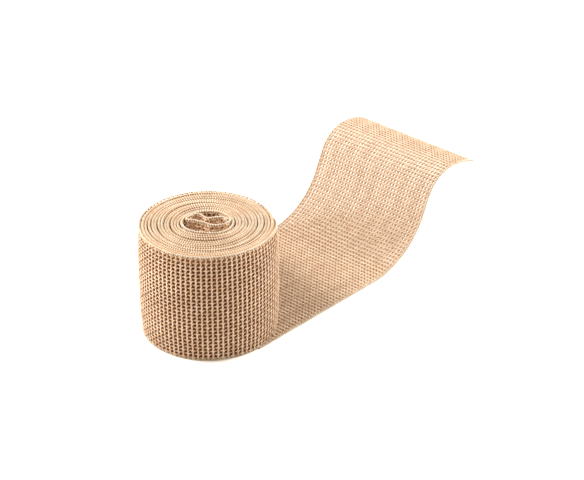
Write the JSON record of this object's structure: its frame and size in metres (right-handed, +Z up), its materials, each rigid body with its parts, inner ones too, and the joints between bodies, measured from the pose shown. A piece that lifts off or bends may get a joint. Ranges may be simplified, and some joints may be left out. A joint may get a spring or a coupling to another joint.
{
  "type": "elastic bandage",
  "caption": "Knitted elastic bandage, wound in a roll that stands on its edge, with a free tail that climbs in a wave.",
  "frame": {"origin": "centre of the footprint, on the surface that the bandage rests on", "axes": "+Z up, along the roll's axis; seen along +Y the roll stands at the left and front, and the tail runs off to the right and back"},
  "size_m": [0.1472, 0.16, 0.05],
  "materials": {
    "tan_knit": "open mesh knit, matt"
  },
  "bodies": {
    "root": {"wound_turns": "tan_knit", "free_tail": "tan_knit"}
  },
  "joints": []
}
